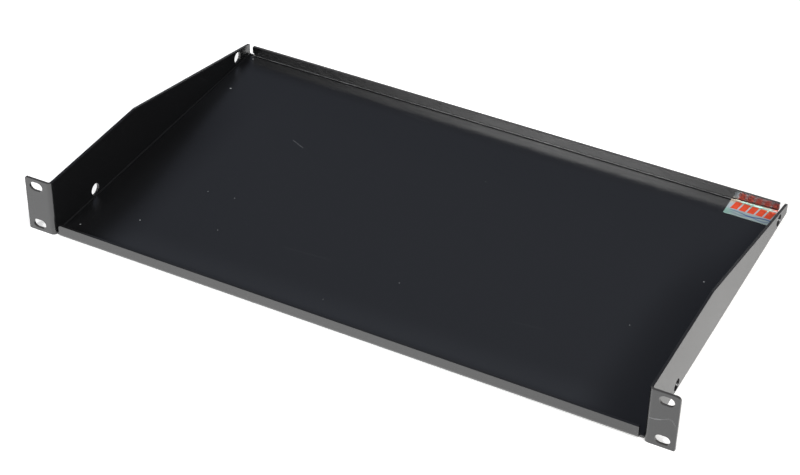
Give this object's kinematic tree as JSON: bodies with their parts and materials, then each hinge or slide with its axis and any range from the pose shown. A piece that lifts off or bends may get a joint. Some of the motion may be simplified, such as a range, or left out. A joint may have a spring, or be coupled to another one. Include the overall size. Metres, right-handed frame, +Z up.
{
  "type": "cantilever rack shelf",
  "caption": "Shallow folded-steel rack shelf: flat pan with a front lip, a rear flange, tapering side walls and slotted mounting ears.",
  "frame": {"origin": "on the underside of the pan, halfway between the side walls and halfway from the ears' front face to the rear flange", "axes": "+Z up, +Y to the rear of the rack, +X to the right as seen from the front"},
  "size_m": [0.4826, 0.2666, 0.0437],
  "materials": {
    "black_paint": "semi-gloss black baked paint on folded sheet steel",
    "label_foil": "shiny pale foil film with a plain orange-red band and thin blue waves"
  },
  "bodies": {
    "root": {"folded_shelf": "black_paint", "foil_label": "label_foil"}
  },
  "joints": []
}
